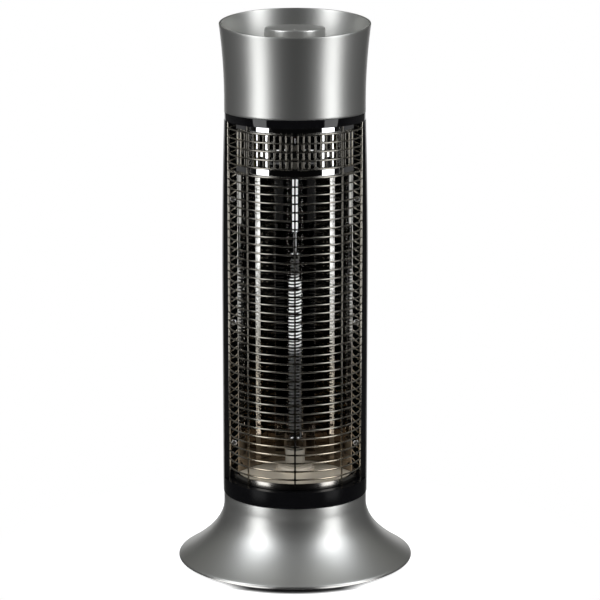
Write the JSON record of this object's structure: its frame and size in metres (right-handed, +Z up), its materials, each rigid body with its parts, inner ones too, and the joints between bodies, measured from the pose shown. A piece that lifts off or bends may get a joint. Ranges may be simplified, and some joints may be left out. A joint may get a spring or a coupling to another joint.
{
  "type": "carbon heater",
  "caption": "Free-standing tower heater: quartz tube element before a creased reflector behind a wire fireguard, on a flared base that lets it oscillate, with a rotary switch in its top.",
  "frame": {"origin": "on the floor under the column's axis, at the middle of the base", "axes": "+Z up along the column's axis; the grille faces -Y; +X is to the right seen from the front"},
  "size_m": [0.2539, 0.254, 0.5936],
  "materials": {
    "silver_paint": "satin metallic silver paint on moulded plastic",
    "gloss_black": "gloss black moulding",
    "housing_black": "fine-textured black heat-resistant moulding",
    "plate_black": "matt black powder coat on sheet steel",
    "matte_black": "matt black moulding",
    "rubber_black": "matt rubber",
    "steel": "zinc plated steel",
    "ballast_iron": "rough cast iron",
    "nylon": "natural nylon",
    "polished_sheet": "mirror-bright rolled aluminium sheet",
    "grille_chrome": "bright plated wire",
    "quartz": "clear fused quartz",
    "carbon": "wound carbon fibre",
    "ceramic": "unglazed steatite ceramic",
    "brass": "plain brass",
    "wire_insulation": "glass-sleeved silicone insulation"
  },
  "bodies": {
    "base": {"base_shell": "silver_paint", "base_plate": "plate_black", "feet": "rubber_black", "base_plate_screws": "steel", "ballast_ring": "ballast_iron", "bearing_plate": "steel", "bearing_plate_screws": "steel", "glide_ring": "nylon", "oscillation_motor": "steel", "motor_screws": "steel", "tip_switch": "matte_black", "tip_switch_screws": "steel", "cord_gland": "rubber_black", "terminal_block": "nylon", "base_wires": "wire_insulation"},
    "crank": {"crank_disc": "nylon", "motor_shaft": "steel"},
    "plunger": {"tip_plunger": "nylon"},
    "column": {"collar": "silver_paint", "control_panel": "silver_paint", "lower_bezel": "gloss_black", "upper_bezel": "gloss_black", "rear_housing": "housing_black", "thermal_cutout": "matte_black", "rotary_switch": "matte_black", "turntable": "steel", "skirt_screws": "steel", "circlip": "steel", "drive_yoke": "steel", "yoke_screws": "steel", "housing_screws": "steel", "reflector_screws": "steel", "tray_screws": "steel", "filament_terminals": "steel", "standoff_screws": "steel", "hood_screws": "steel", "upper_bezel_screws": "steel", "shield_screws": "steel", "collar_screws": "steel", "panel_screws": "steel", "switch_nut": "steel", "reflector": "polished_sheet", "bottom_tray": "polished_sheet", "upper_hood": "polished_sheet", "upper_plate": "polished_sheet", "heat_shield": "polished_sheet", "lower_tube_bracket": "polished_sheet", "front_grille": "grille_chrome", "quartz_tube": "quartz", "carbon_filament": "carbon", "lower_ceramic_cap": "ceramic", "upper_ceramic_cap": "ceramic", "thrust_washer": "brass", "standoffs": "brass", "column_wires": "wire_insulation"},
    "knob": {"knob": "silver_paint", "switch_shaft": "steel"}
  },
  "joints": [
    {"name": "oscillation", "type": "hinge", "parent": "base", "child": "column", "pos_m": [0, 0, 0.06], "axis": [0, 0, 1], "range_deg": [-35, 35]},
    {"name": "crank_turn", "type": "hinge", "parent": "base", "child": "crank", "pos_m": [0, 0.038, 0.06], "axis": [0, 0, 1], "range_deg": [-112, 112]},
    {"name": "tip_switch_travel", "type": "slide", "parent": "base", "child": "plunger", "axis": [0, 0, -1], "range_m": [0, 0.004], "stiffness_N_per_m": 40, "springref_m": 0.008},
    {"name": "knob_turn", "type": "hinge", "parent": "column", "child": "knob", "pos_m": [0, 0, 0.56], "axis": [0, 0, 1], "range_deg": [-135, 0]}
  ],
  "couplings": [
    {"joint": "crank_turn", "follows": "oscillation", "ratio": 3.2}
  ]
}
